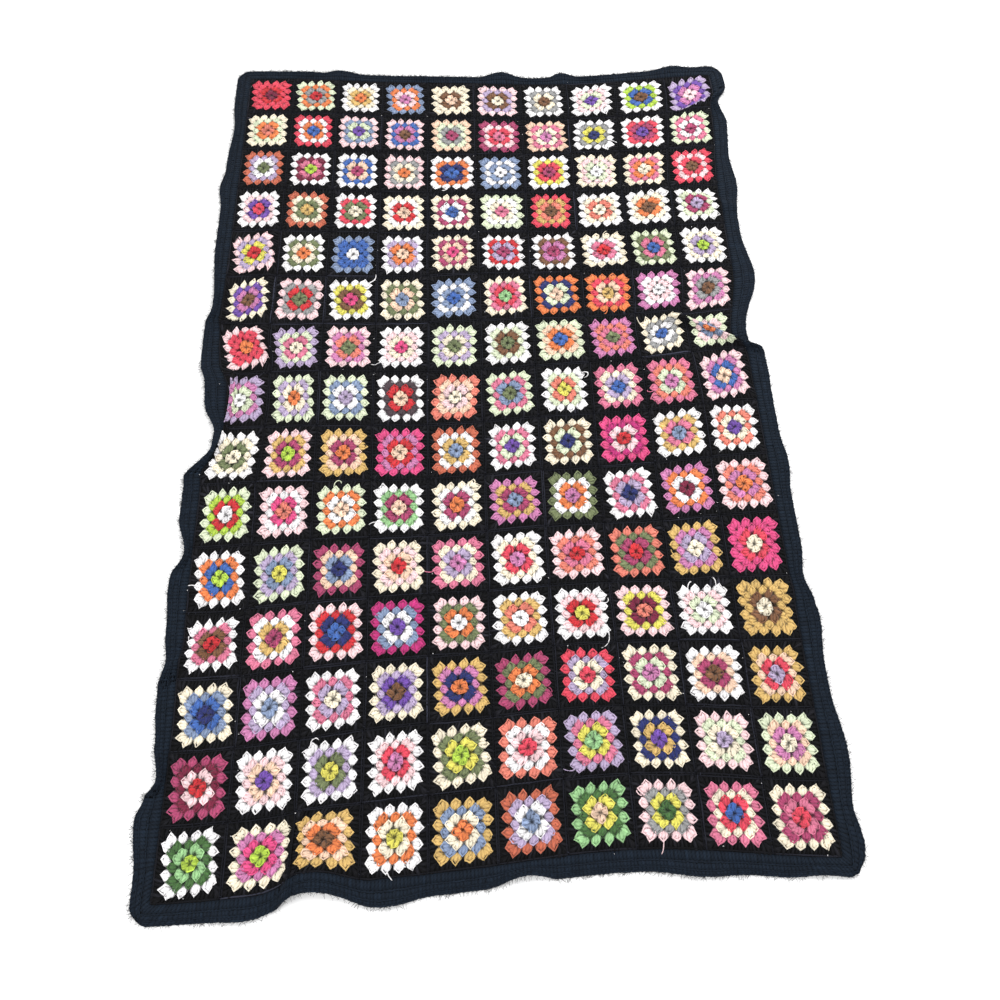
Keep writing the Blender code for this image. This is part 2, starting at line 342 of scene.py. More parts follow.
# The yarns in the basket.
YARNS = {
    "white": (248, 246, 247), "cream": (245, 234, 210), "pale pink": (247, 213, 216),
    "peach": (242, 208, 182), "pale green": (222, 231, 200), "lavender": (186, 168, 200),
    "orchid": (203, 128, 175), "rose": (217, 121, 150), "salmon": (229, 131, 113),
    "hot pink": (222, 79, 134), "raspberry": (171, 69, 108), "magenta": (190, 50, 120),
    "coral": (224, 74, 94), "red": (206, 50, 57), "rust": (198, 106, 80),
    "orange": (230, 130, 76), "gold": (216, 180, 110), "yellow": (224, 216, 98),
    "lime": (178, 208, 76), "mint": (153, 199, 140), "sage": (116, 126, 88),
    "dark green": (72, 110, 60), "slate": (134, 151, 182), "blue": (66, 104, 176),
    "navy": (41, 49, 108), "purple": (114, 78, 166), "brown": (124, 86, 60),
    "grey": (155, 155, 155), "burgundy": (122, 34, 62), "charcoal": (76, 62, 68),
    "black": (15, 15, 19), "seam black": (21, 22, 29), "blue black": (19, 29, 41),
}

# How often each yarn is taken for a square's last coloured round, for the two
# rounds inside it, and for its centre.
LAST_SHARES = {
    "white": 44, "cream": 17, "pale pink": 28, "pale green": 15, "lavender": 6, "rose": 4,
    "coral": 3, "orange": 2, "raspberry": 2, "slate": 2, "orchid": 2, "peach": 3, "sage": 1,
    "gold": 2, "salmon": 2,
}
MIDDLE_SHARES = {
    "rose": 14, "salmon": 11, "orchid": 12, "white": 28, "lavender": 20, "pale pink": 20,
    "cream": 23, "coral": 10, "raspberry": 10, "slate": 11, "pale green": 19, "gold": 13,
    "sage": 9, "orange": 10, "peach": 17, "grey": 8, "brown": 7, "burgundy": 4, "yellow": 6,
    "navy": 3, "blue": 3, "purple": 3, "mint": 2, "hot pink": 8, "lime": 3, "red": 4,
}
FIRST_SHARES = {
    "slate": 7, "red": 10, "blue": 7, "rose": 7, "salmon": 4, "cream": 7, "white": 4,
    "lavender": 9, "navy": 7, "brown": 8, "yellow": 9, "orange": 8, "sage": 6, "gold": 6,
    "peach": 6, "raspberry": 5, "orchid": 5, "coral": 5, "purple": 4, "hot pink": 5,
    "lime": 5, "dark green": 3, "burgundy": 3, "mint": 3,
}

# The squares that stand out, by their place: column and row, then the yarns
# from the last coloured round in to the first.
PLANNED = [
    (1, 1, "coral", "coral", "red", "burgundy"),
    (5, 1, "cream", "cream", "brown", "peach"),
    (10, 1, "lavender", "purple", "orchid", "pale pink"),
    (6, 2, "raspberry", "pale pink", "coral", "rose"),
    (1, 3, "rust", "lavender", "white", "sage"),
    (6, 3, "slate", "white", "slate", "white"),
    (10, 3, "coral", "pale pink", "coral", "brown"),
    (2, 4, "rust", "cream", "sage", "gold"),
    (3, 5, "slate", "blue", "blue", "white"),
    (5, 6, "slate", "white", "slate", "blue"),
    (8, 6, "orange", "coral", "peach", "gold"),
    (1, 7, "pale pink", "coral", "coral", "orange"),
    (1, 8, "lavender", "orchid", "pale green", "white"),
    (4, 8, "white", "charcoal", "red", "peach"),
    (3, 9, "gold", "peach", "raspberry", "orange"),
    (4, 9, "hot pink", "orchid", "red", "peach"),
    (5, 9, "rust", "white", "gold", "slate"),
    (8, 9, "hot pink", "magenta", "pale pink", "red"),
    (7, 10, "sage", "white", "orange", "orchid"),
    (9, 10, "orchid", "orange", "white", "burgundy"),
    (3, 11, "raspberry", "peach", "slate", "navy"),
    (9, 11, "gold", "orchid", "lavender", "cream"),
    (10, 11, "hot pink", "hot pink", "coral", "cream"),
    (4, 12, "magenta", "slate", "white", "purple"),
    (10, 12, "gold", "gold", "brown", "cream"),
    (1, 13, "cream", "slate", "blue", "navy"),
    (2, 13, "orchid", "lavender", "white", "slate"),
    (6, 13, "raspberry", "sage", "orange", "cream"),
    (7, 13, "coral", "lavender", "cream", "coral"),
    (10, 13, "gold", "peach", "coral", "lavender"),
    (1, 14, "raspberry", "burgundy", "pale pink", "red"),
    (5, 14, "cream", "sage", "yellow", "lime"),
    (7, 14, "lavender", "rose", "yellow", "mint"),
    (8, 14, "cream", "navy", "gold", "purple"),
    (1, 15, "white", "dark green", "mint", "lime"),
    (3, 15, "gold", "peach", "orange", "brown"),
    (6, 15, "rust", "lavender", "white", "slate"),
    (7, 15, "mint", "dark green", "yellow", "peach"),
    (9, 15, "rose", "cream", "coral", "blue"),
    (10, 15, "cream", "raspberry", "rose", "coral"),
]

COLOURED_ROUNDS = 4
names = list(YARNS)


def draw(shares, but=()):
    """One yarn's name by its share, leaving out those in but."""
    able = [name for name in shares if name not in but]
    weights = np.array([shares[name] for name in able], dtype=float)
    return able[random.choice(len(able), p=weights / weights.sum())]


# yarn_of[column, row, round] counts along the basket: rounds 0 to 3 go out from
# the centre, and round 4 is the black one.
yarn_of = np.zeros((SQUARES_ACROSS, SQUARES_ALONG, COLOURED_ROUNDS + 1), dtype=int)
planned = {(column, row): yarns for column, row, *yarns in PLANNED}
for row in range(SQUARES_ALONG):
    for column in range(SQUARES_ACROSS):
        outer = draw(LAST_SHARES)
        third = draw(MIDDLE_SHARES, (outer,))
        second = draw(MIDDLE_SHARES, (third, outer))
        first = draw(FIRST_SHARES, (second,))
        chosen = planned.get((column + 1, row + 1), (outer, third, second, first))
        yarn_of[column, row] = [names.index(name) for name in (*chosen[::-1], "black")]
yarn_colours = np.array([linear(YARNS[name]) for name in names])

# The stitches stand on a lattice inside each square, in shares of its width:
# every round is one step wider than the last, and the black one runs to the seam.
STEP = 0.087
round_edges = np.append(np.arange(COLOURED_ROUNDS + 1) * STEP, 0.5)
GROUND_THICKNESS = 0.0016

halves = np.concatenate([-round_edges[:0:-1], round_edges])
CELLS = len(halves) - 1     # cells of the ground across one square, and along it
cell_lines = (np.arange(SQUARES_ALONG)[:, None] + 0.5 + halves[None, :-1]).ravel()
lines_across = np.append(cell_lines[:CELLS * SQUARES_ACROSS], SQUARES_ACROSS)
lines_along = np.append(cell_lines, SQUARES_ALONG)
grid_across, grid_along = np.meshgrid(lines_across, lines_along)
rows, columns = grid_across.shape
round_across, round_along = (
    np.digitize(np.abs(np.arange(lines - 1) % CELLS - (CELLS - 1) / 2), np.arange(1, COLOURED_ROUNDS + 1))
    for lines in (columns, rows))
cell_yarn = yarn_of[np.arange(columns - 1)[None, :] // CELLS, np.arange(rows - 1)[:, None] // CELLS,
                    np.maximum(round_across[None, :], round_along[:, None])]


def link(tree, *pairs):
    """Links node sockets: each pair is (from, to)."""
    for start, end in pairs:
        tree.links.new(start, end)


def math_node(tree, operation, first=None, second=None):
    """A math node, with the values of those inputs that nothing is linked to."""
    node = tree.nodes.new("ShaderNodeMath")
    node.operation = operation
    for socket, value in zip(node.inputs, (first, second)):
        if value is not None:
            socket.default_value = value
    return node


def range_node(tree, to_min, to_max, from_min=0.0, from_max=1.0):
    """A node that carries one range of values onto another."""
    node = tree.nodes.new("ShaderNodeMapRange")
    for socket, value in zip(node.inputs[1:5], (from_min, from_max, to_min, to_max)):
        socket.default_value = value
    return node


def plied_yarn():
    """Node group: the look of one strand of spun yarn.

    Strand is a map that goes once round the strand and once along it. The
    plies are a sine of two turns round added to the way along, and the fuzz
    is a fine noise on the piece's own coordinates. Shade is painted shade: darker
    in the grooves between the plies and varied by the fuzz. The gaps between the
    loops are painted shade too: dark dots round the points of a level Voronoi
    pattern, as deep as the hole shade input says.
    """
    group = bpy.data.node_groups.new("plied yarn", "ShaderNodeTree")
    for name, kind in (("Strand", "NodeSocketVector"), ("Place", "NodeSocketVector")):
        group.interface.new_socket(name, in_out="INPUT", socket_type=kind)
    group.interface.new_socket("Hole Shade", in_out="INPUT", socket_type="NodeSocketFloat")
    for name in ("Shade", "Height"):
        group.interface.new_socket(name, in_out="OUTPUT", socket_type="NodeSocketFloat")
    node = group.nodes.new
    start = node("NodeGroupInput")
    end = node("NodeGroupOutput")
    split = node("ShaderNodeSeparateXYZ")
    along = math_node(group, "MULTIPLY", second=2.5)
    turn = math_node(group, "MULTIPLY_ADD", second=2.0)
    angle = math_node(group, "MULTIPLY", second=2 * np.pi)
    ply = math_node(group, "SINE")
    fuzz = node("ShaderNodeTexNoise")
    fuzz.inputs["Scale"].default_value = 900
    fuzz.inputs["Detail"].default_value = 2
    both = math_node(group, "MULTIPLY_ADD", second=0.35)
    shade = range_node(group, 0.82, 1.14, from_min=-0.1, from_max=1.1)
    level = node("ShaderNodeMapping")
    level.inputs["Scale"].default_value = (1, 1, 0)
    dots = node("ShaderNodeTexVoronoi")
    dots.inputs["Scale"].default_value = 130
    solid = range_node(group, 1.0, 0.0, from_min=0.09, from_max=0.2)
    deep = math_node(group, "MULTIPLY")
    left = math_node(group, "SUBTRACT", first=1.0)
    holed = math_node(group, "MULTIPLY")
    link(group, (start.outputs["Place"], level.inputs["Vector"]),
         (level.outputs[0], dots.inputs["Vector"]), (dots.outputs["Distance"], solid.inputs["Value"]),
         (solid.outputs[0], deep.inputs[0]), (start.outputs["Hole Shade"], deep.inputs[1]),
         (deep.outputs[0], left.inputs[1]), (left.outputs[0], holed.inputs[0]),
         (shade.outputs[0], holed.inputs[1]), (holed.outputs[0], end.inputs["Shade"]))
    link(group, (start.outputs["Strand"], split.inputs[0]), (split.outputs["Y"], along.inputs[0]),
         (split.outputs["X"], turn.inputs[0]), (along.outputs[0], turn.inputs[2]),
         (turn.outputs[0], angle.inputs[0]), (angle.outputs[0], ply.inputs[0]),
         (start.outputs["Place"], fuzz.inputs["Vector"]),
         (ply.outputs[0], both.inputs[0]), (fuzz.outputs["Fac"], both.inputs[2]),
         (both.outputs[0], shade.inputs["Value"]), (both.outputs[0], end.inputs["Height"]))
    return group


plied = plied_yarn()


def yarn_material(name, darkest_painted_shade, sheen, hole_shade=0.0):
    """Spun yarn whose colour and painted light come from the mesh.

    Where a point is closed in, painted shade darkens its colour, down to the
    least share given. The hole shade is how dark the gaps between its loops are painted.
    """
    material = bpy.data.materials.new(name)
    material.use_nodes = True
    tree = material.node_tree
    shader = tree.nodes["Principled BSDF"]
    shader.inputs["Sheen Weight"].default_value = sheen
    shader.inputs["Sheen Roughness"].default_value = 0.6
    shader.inputs["Specular IOR Level"].default_value = 0.2
    node = tree.nodes.new
    own = node("ShaderNodeAttribute")
    own.attribute_name = "yarn"
    coordinates = node("ShaderNodeTexCoord")
    strand_map = node("ShaderNodeUVMap")
    strand_map.uv_map = "strand"
    spun = node("ShaderNodeGroup")
    spun.node_tree = plied
    spun.inputs["Hole Shade"].default_value = hole_shade
    painted_light = range_node(tree, darkest_painted_shade, 1.0)
    factor = math_node(tree, "MULTIPLY")
    tint = node("ShaderNodeVectorMath")
    tint.operation = "SCALE"
    bump = node("ShaderNodeBump")
    bump.inputs["Distance"].default_value = 0.5 * MM
    roughness = range_node(tree, 0.98, 0.82)
    link(tree, (strand_map.outputs["UV"], spun.inputs["Strand"]),
         (coordinates.outputs["Object"], spun.inputs["Place"]),
         (own.outputs["Alpha"], painted_light.inputs["Value"]),
         (painted_light.outputs[0], factor.inputs[0]), (spun.outputs["Shade"], factor.inputs[1]),
         (own.outputs["Color"], tint.inputs[0]), (factor.outputs[0], tint.inputs["Scale"]),
         (tint.outputs[0], shader.inputs["Base Color"]),
         (spun.outputs["Height"], bump.inputs["Height"]),
         (bump.outputs["Normal"], shader.inputs["Normal"]),
         (spun.outputs["Height"], roughness.inputs["Value"]),
         (roughness.outputs[0], shader.inputs["Roughness"]))
    return material


# A sheet's bake map, in shares of the map.
MAP_MARGIN = 0.01
MAP_SIDE = 0.47         # how wide each of the two sides is
MAP_APART = 0.51        # from the upper side's start to the lower side's
MAP_RIM = 0.005         # how wide the rims are


def closed_sheet(name, top, bottom, loop, above, below):
    """A closed sheet between two grids of points, with the rows running to the viewer.

    Where loop is set its columns run on round to the first. above and below
    are its materials. Its bake map has the upper side on the left, the lower
    side on the right and the rims just outside the upper side. The faces come
    in the order upper side, lower side and rims.
    """
    rows, columns = top.shape[:2]
    upper = np.arange(rows * columns).reshape(rows, columns)
    if loop:
        upper = np.hstack([upper, upper[:, :1]])
    lower = upper + rows * columns
    down, right = np.meshgrid(np.linspace(0, 1, upper.shape[0]), np.linspace(0, 1, upper.shape[1]),
                              indexing="ij")
    map_above = np.stack([MAP_MARGIN + MAP_SIDE * right, 1 - MAP_MARGIN - (1 - 2 * MAP_MARGIN) * down],
                         axis=-1)
    map_below = map_above + [MAP_APART, 0]

    def cells(grid, order):
        corners = (grid[:-1, :-1], grid[1:, :-1], grid[1:, 1:], grid[:-1, 1:])
        return np.stack([corners[k] for k in order], axis=2).reshape(-1, 4, *grid.shape[2:])

    def rim(line, under, shift):
        parts = (line[1:], line[:-1], under[:-1] + shift, under[1:] + shift)
        return np.stack(parts, axis=1)

    up, over = (0, 1, 2, 3), (0, 3, 2, 1)
    quads = [cells(upper, up), cells(lower, over)]
    places = [cells(map_above, up), cells(map_below, over)]
    rims = [(np.s_[0, ::-1], (0, MAP_RIM)), (np.s_[-1, :], (0, -MAP_RIM))]
    if not loop:
        rims += [(np.s_[:, 0], (-MAP_RIM, 0)), (np.s_[::-1, -1], (MAP_RIM, 0))]
    for edge, shift in rims:
        quads.append(rim(upper[edge], lower[edge], 0))
        places.append(rim(map_above[edge], map_above[edge], shift))
    quads = np.concatenate(quads)
    points = np.concatenate([top.reshape(-1, 3), bottom.reshape(-1, 3)])
    sheet = new_mesh(name, points, quads, np.empty((0, 3), int), above)
    sheet.data.materials.append(below)
    inner = (upper.shape[0] - 1) * (upper.shape[1] - 1)
    sheet.data.polygons.foreach_set("material_index", (np.arange(len(quads)) >= inner).astype(np.int32))
    set_map(sheet, "OFBake", np.concatenate(places).reshape(-1, 2))
    set_map(sheet, "strand", np.concatenate(places).reshape(-1, 2) * [columns, rows / 2])
    return sheet


# Painted shade: the ground's top is darkened to 0.09 of its yarn, its back to 0.8.
ground_shade = yarn_material("ground between the stitches in painted shade", 0.09, 0.0)
ground_back = yarn_material("back of the squares", 0.8, 0.1)
ground_height = np.full(grid_across.shape, GROUND_THICKNESS)
ground = closed_sheet("squares_ground", on_cloth(grid_across, grid_along, ground_height),
                      lie(grid_across, grid_along), False, ground_shade, ground_back)
rim_yarn = np.full(len(ground.data.polygons) - 2 * cell_yarn.size, names.index("black"))
face_yarn = np.concatenate([cell_yarn.ravel(), cell_yarn.ravel(), rim_yarn])
# Every corner's alpha is 0, fully closed in, so all of the ground takes its material's painted shade.
corner_colours = np.repeat(np.column_stack([yarn_colours[face_yarn], np.zeros(len(face_yarn))]),
                           4, axis=0)
corners = ground.data.color_attributes.new("yarn", "FLOAT_COLOR", "CORNER")
corners.data.foreach_set("color", corner_colours.astype(np.float32).ravel())
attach(ground, "root")
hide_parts("joined_squares")


# ---- The coloured rounds ----
# Four rounds of clusters in every square, three treble posts to a cluster. Each
# cluster stands in the hole between two of the round before, spreads to touch
# its neighbours and closes to a soft tip; at a corner two share one hole.

# Each strand's path in a cluster, from the hole out, in millimetres: to the
# side, out, up, and half its width and its thickness there. The last column is
# painted light, how open it lies to the light: low in the hole and at the chain's
# ends, where painted shade darkens the yarn to dark dots. The chain is what the
# posts hang from: it runs over all three tips, from shoulder to shoulder.
MIDDLE_POST = [
    # side   out    up  width  thick  open
    (0.0,    1.8,  1.2,   1.4,   1.2,  0.12),
    (0.0,    5.0,  1.8,   3.6,   1.9,  0.85),
    (0.0,    9.0,  2.3,   4.8,   2.1,  1.0),
    (0.0,   13.0,  2.2,   4.4,   2.0,  0.95),
    (0.0,   16.4,  1.6,   2.4,   1.5,  0.5),
]
SIDE_POST = [
    (1.2,    1.8,  1.1,   1.3,   1.2,  0.12),
    (3.5,    5.2,  1.6,   3.3,   1.8,  0.85),
    (5.2,    8.8,  2.0,   4.3,   2.0,  1.0),
    (5.0,   12.2,  2.0,   3.8,   1.9,  0.95),
    (3.4,   14.6,  1.5,   2.2,   1.5,  0.5),
]
CHAIN = [
    (-8.4,   7.6,  2.1,   1.5,   1.3,  0.0),
    (-5.9,  13.4,  2.4,   1.5,   1.9,  1.0),
    (0.0,   17.8,  2.6,   1.6,   1.9,  1.0),
    (5.9,   13.4,  2.4,   1.5,   1.9,  1.0),
    (8.4,    7.6,  2.1,   1.5,   1.3,  0.0),
]
# The same at a corner, which lies to the right of its cluster here: the outer
# post leans over to meet the corner's other cluster, and the chain runs on
# from the tip to a shallow notch in the middle of the corner.
CORNER_INNER_POST = [
    (-1.2,   1.8,  1.1,   1.3,   1.2,  0.12),
    (-3.2,   5.4,  1.6,   3.3,   1.8,  0.85),
    (-4.0,   9.6,  2.0,   4.3,   2.0,  1.0),
    (-1.8,  13.4,  2.0,   3.9,   1.9,  0.95),
    (1.4,   15.8,  1.5,   2.4,   1.5,  0.5),
]
CORNER_MIDDLE_POST = [
    (0.6,    1.8,  1.2,   1.4,   1.2,  0.12),
    (2.0,    6.0,  1.8,   3.8,   1.9,  0.85),
    (3.4,   10.8,  2.3,   4.8,   2.1,  1.0),
    (4.8,   14.8,  2.2,   4.2,   2.0,  1.0),
    (5.6,   17.6,  1.8,   2.6,   1.6,  0.8),
]
CORNER_OUTER_POST = [
    (1.8,    2.2,  1.1,   1.4,   1.2,  0.12),
    (4.8,    5.8,  1.6,   3.6,   1.8,  0.85),
    (7.4,    9.2,  2.0,   4.6,   2.0,  1.0),
    (9.2,   11.6,  2.0,   4.2,   1.9,  1.0),
    (9.8,   13.4,  1.7,   2.6,   1.6,  0.8),
]
CORNER_CHAIN = [
    (-8.4,   7.8,  2.1,   1.5,   1.3,  0.0),
    (-3.2,  13.8,  2.4,   1.5,   1.9,  1.0),
    (5.8,   19.4,  2.6,   1.5,   1.9,  1.0),
    (8.8,   15.8,  2.4,   1.5,   1.8,  1.0),
    (11.8,  12.2,  2.1,   1.3,   1.6,  0.7),
]
PAINTED_LIGHT_ROUND = (0.92, 1.0, 0.92)  # painted light for each point round a ring: one side, the top, the other; the sides get painted shade
FIRST_REACH = 15.5      # how far out the first round's blunter clusters stand, in millimetres
FIRST_UNEVEN = (0.08, 0.1)  # how far that strays from square to square, and in each
FIRST_FULLNESS = 0.95   # how wide their strands are, against the others'
LAST_FULLNESS = 1.08    # the same between the corners of the last coloured round, which has room
LAST_REACH = 1.1        # how much further out those clusters stand
LAST_SPREAD = 1.2       # how much further apart
INNER_FAN = 0.45        # how much of the corner's fan the inner rounds have; the last has all of it
TIP = 18                # millimetres from the hole to the tip
PAINTED_STRAND_LIGHT = np.array([0.94, 0.98, 0.94, 1.12])   # painted light of a cluster's three posts and its chain: painted shade on the posts, most on the side ones, and a painted highlight on the chain
JITTER = (1.1, 0.8, 0.6, 0.4, 0.3)   # how far the strands stray, round by round, in millimetres
CLUSTER_SPREAD = 0.04   # how far clusters stray from one size
STRAND_LIFT = 0.25      # how far strands stray from their height, in millimetres
STRAND_SPREAD = 0.06    # and from their width and thickness
YARN_SPREAD = 0.05      # and clusters from the shade of their yarn
LEAN = 1.8              # how far the tips lean clockwise of their holes, in millimetres
INNER_TWIST = 18        # degrees by which the centre is wound on, fading out to the last round
TURN = 1.6              # degrees by which the squares sit turned
SIZE = 0.95             # how far the coloured rounds fill their lattice
FREE = 0.4              # how far out a square keeps its own turn, as a share of its width
FADE = 0.1              # over how much more that fades out
WOUND = 0.42            # how far out the winding of the centre reaches, as a share of the square


def cluster_places(number):
    """side, across and out for each cluster of one round, counted from 1.

    Each side of round n has n clusters, two steps apart, in the holes n - 1
    steps out from the centre.
    """
    side, place = np.divmod(np.arange(4 * number), number)
    return side, (place - (number - 1) / 2) * 2 * STEP, np.full(4 * number, (number - 1) * STEP)


def strands(path, width, thick):
    """Rings of three points round each path: one side, the top and the other side.

    The sides are level and square to the path, and the top is square to both.
    """
    ahead = np.gradient(path, axis=-2)
    ahead /= np.linalg.norm(ahead, axis=-1, keepdims=True)
    side = np.cross(ahead, (0, 0, 1))
    side /= np.linalg.norm(side, axis=-1, keepdims=True)
    top = np.cross(side, ahead) * thick[..., None]
    side = side * width[..., None]
    return path[..., None, :] + np.stack([side, top, -side], axis=-2)


def strand_faces(count, rings):
    """The walls and closed ends of that many strands of three-point rings."""
    ring, corner = np.meshgrid(np.arange(rings - 1) * 3, np.arange(3), indexing="ij")
    following = (corner + 1) % 3
    walls = np.stack([ring + corner, ring + 3 + corner, ring + 3 + following, ring + following],
                     axis=-1).reshape(-1, 4)
    ends = np.array([[0, 1, 2], [2, 1, 0]]) + [[0], [3 * (rings - 1)]]
    first = 3 * rings * np.arange(count)[:, None, None]
    return (walls + first).reshape(-1, 4), (ends + first).reshape(-1, 3)


# A strand's patch of the bake map, in shares of the patch.
PATCH_MARGIN = 0.08
PATCH_ENDS = 0.17       # where the walls start and end; the closed ends lie beyond them
END_TIP = 0.06          # how far a closed end's point comes in


def strand_maps(piece, groups):
    """Adds the strand map, once round and along each one, and a bake map with a patch for each.

    groups is the number of strands and of rings in each run of like strands.
    """
    total = sum(count for count, _ in groups)
    wide = int(np.ceil(np.sqrt(total)))
    begun = 0
    maps = {"strand": [[], []], "OFBake": [[], []]}
    for count, rings in groups:
        ring, corner = np.meshgrid(np.arange(rings - 1), np.arange(3), indexing="ij")
        round_it = np.stack([corner, corner, corner + 1, corner + 1], axis=-1).reshape(-1) / 3
        along_it = np.stack([ring, ring + 1, ring + 1, ring], axis=-1).reshape(-1) / (rings - 1)
        walls = np.stack([round_it, along_it], axis=-1)
        ends = np.array([[0, 0], [0.5, END_TIP], [1, 0], [1, 1], [0.5, 1 - END_TIP], [0, 1]])
        patch = np.stack(np.divmod(begun + np.arange(count), wide), axis=-1)[:, None, :]
        begun += count
        room = np.array([PATCH_MARGIN, PATCH_ENDS])
        in_patch = ((walls * (1 - 2 * room) + room + patch) / wide,
                    (ends * (1 - 2 * PATCH_MARGIN) + PATCH_MARGIN + patch) / wide)
        for kind, part in enumerate((walls, ends)):
            maps["strand"][kind].append(np.broadcast_to(part, (count, *part.shape)).reshape(-1, 2))
            maps["OFBake"][kind].append(in_patch[kind].reshape(-1, 2))
    for name, (walls, ends) in maps.items():
        set_map(piece, name, np.concatenate(walls + ends))


def strand_piece(name, groups, material):
    """A piece of many strands. groups is (points, colours), each (strands, rings, 3, ...)."""
    points = np.vstack([group.reshape(-1, 3) for group, _ in groups])
    quads, triangles, begun = [], [], 0
    for group, _ in groups:
        walls, ends = strand_faces(len(group), group.shape[1])
        quads.append(walls + begun)
        triangles.append(ends + begun)
        begun += group[..., 0].size
    piece = new_mesh(name, points, np.concatenate(quads), np.concatenate(triangles), material)
    set_colours(piece, np.vstack([colours for _, colours in groups]))
    strand_maps(piece, [group.shape[:2] for group, _ in groups])
    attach(piece, "root")
    return piece


# How each square sits: its own turn in degrees, its lean and rise, which are how
# far its sides slope to the right and its rows to the far end, and its size.
square_turn = TURN + random.normal(0, 2.0, (SQUARES_ACROSS, SQUARES_ALONG))
square_lean = random.normal(0, 0.03, (SQUARES_ACROSS, SQUARES_ALONG))
square_rise = np.zeros((SQUARES_ACROSS, SQUARES_ALONG))
square_size = random.normal(SIZE, 0.025, (SQUARES_ACROSS, SQUARES_ALONG, 2))

# The squares that the folds beside them have pulled out of shape.
PULLED = [
    # column  row  lean   rise  across  along
    (1,       5,  -0.12,  0.20,   0.94,  0.97),
    (1,       6,  -0.17,  0.30,   0.84,  0.95),
    (1,       7,  -0.14,  0.28,   0.92,  0.98),
    (1,       8,  -0.04,  0.10,   0.98,  0.96),
    (8,       1,   0.00,  0.12,   1.00,  1.00),
    (10,      1,   0.00,  0.26,   0.96,  1.00),
    (9,       7,   0.00,  0.10,   0.98,  1.00),
    (10,      8,   0.00,  0.14,   0.98,  1.00),
]
for column, row, lean, rise, across, along in PULLED:
    square_lean[column - 1, row - 1] += lean
    square_rise[column - 1, row - 1] = rise
    square_size[column - 1, row - 1] *= (across, along)


def into_cloth(column, row, side, points):
    """Carries points from one side of a square onto the cloth.

    points are across, out and up: across and out in shares of the square, up
    in metres. They are turned to their side, wound on towards the centre,
    turned, leant and sized with their square by an amount that fades out at
    the seam, and then laid on the cloth.
    """
    spread = points.ndim - 1
    column, row, side = (np.reshape(value, (-1, *[1] * (spread - 1))) for value in (column, row, side))
    quarter = -side * np.pi / 2
    u = points[..., 0] * np.cos(quarter) - points[..., 1] * np.sin(quarter)
    v = points[..., 0] * np.sin(quarter) + points[..., 1] * np.cos(quarter)
    far_out = np.maximum(np.abs(u), np.abs(v))
    free = 1 - ramp((far_out - FREE) / FADE)
    wound = INNER_TWIST * np.clip(1 - far_out / WOUND, 0, 1) ** 2
    angle = np.radians(wound + square_turn[column, row] * free)
    lean = square_lean[column, row] * free
    rise = square_rise[column, row] * free
    wide = 1 + (square_size[column, row, 0] - 1) * free
    long = 1 + (square_size[column, row, 1] - 1) * free
    turned_u = (u * np.cos(angle) - v * np.sin(angle)) * wide + lean * v
    turned_v = (u * np.sin(angle) + v * np.cos(angle)) * long + rise * turned_u
    return on_cloth(column + 0.5 + turned_u, row + 0.5 - turned_v, points[..., 2])


def strands_in_square(column, row, side, path, width, thick):
    """Strands laid on the cloth: paths are across, out and up from a square's middle, in metres."""
    rings = strands(path, width, thick)
    rings[..., :2] /= SQUARE_WIDTH
    return into_cloth(column, row, side, rings)


def clusters(number, columns, plain, cornered, mottle):
    """All the clusters of one round in some columns of squares, as points and colours.

    plain and cornered are the strands' paths along a side and at a corner,
    (strands, rings, 6), as the tables give them. mottle is how far the
    strands' shades stray from their yarn's. The first round's clusters are cut
    off at its reach, and the last's stand fuller and further apart between corners.
    """
    side, across, out = cluster_places(number)
    corner = np.rint(across / STEP / max(number - 1, 1)).astype(int) * (number > 1)
    column, row, place = (value.ravel() for value in np.meshgrid(
        columns, np.arange(SQUARES_ALONG), np.arange(len(side)), indexing="ij"))
    count = len(column)
    side, across, out, corner = side[place], across[place], out[place], corner[place]
    posts, rings = plain.shape[:2]
    fan = INNER_FAN if number < COLOURED_ROUNDS else 1
    shape = plain + (cornered - plain) * fan * np.abs(corner)[:, None, None, None]
    own = shape[..., :5] * MM
    own[..., 0] *= np.where(corner < 0, -1, 1)[:, None, None]
    own[..., :2] *= random.normal(1, CLUSTER_SPREAD, (count, 1, 1, 2))
    own[..., :2] += random.normal(0, JITTER[number - 1] * MM, (count, posts, rings, 2))
    own[..., 2] += random.normal(0, STRAND_LIFT * MM, (count, posts, 1))
    own[..., 3:] *= random.normal(1, STRAND_SPREAD, (count, posts, 1, 1))
    own[..., 0] += LEAN * MM * (own[..., 1] / (TIP * MM) - 0.5)
    if number == 1:
        reach = FIRST_REACH * MM * random.normal(1, FIRST_UNEVEN[1], count)
        reach *= random.normal(1, FIRST_UNEVEN[0], (SQUARES_ACROSS, SQUARES_ALONG))[column, row]
        own[..., 1] = np.minimum(own[..., 1], reach[:, None, None])
        own[..., 3] *= FIRST_FULLNESS
    if number == COLOURED_ROUNDS:
        own[corner == 0] *= (LAST_FULLNESS, LAST_REACH, 1, LAST_FULLNESS, 1)
        across = np.where(corner == 0, across * LAST_SPREAD, across)
    points = strands(own[..., :3], own[..., 3], own[..., 4])
    points[..., 0] = points[..., 0] / SQUARE_WIDTH + across[:, None, None, None]
    points[..., 1] = points[..., 1] / SQUARE_WIDTH + out[:, None, None, None]
    placed = into_cloth(column, row, side, points)
    colour = yarn_colours[yarn_of[column, row, number - 1]] * random.normal(1, YARN_SPREAD, (count, 1))
    colours = np.empty((*points.shape[:-1], 4))
    # Each strand's tone strays at random, and is then scaled by its painted light: shade on the posts, a
    # highlight on the chain.
    shade = random.lognormal(0, mottle, (count, posts, 1)) * PAINTED_STRAND_LIGHT[:posts, None]
    colours[..., :3] = (colour[:, None] * shade)[:, :, None, None]
    # The alpha is painted light: the table's last column, with painted shade on each ring's sides.
    colours[..., 3] = shape[..., 5, None] * PAINTED_LIGHT_ROUND
    return placed.reshape(count * posts, rings, 3, 3), colours.reshape(-1, 4)


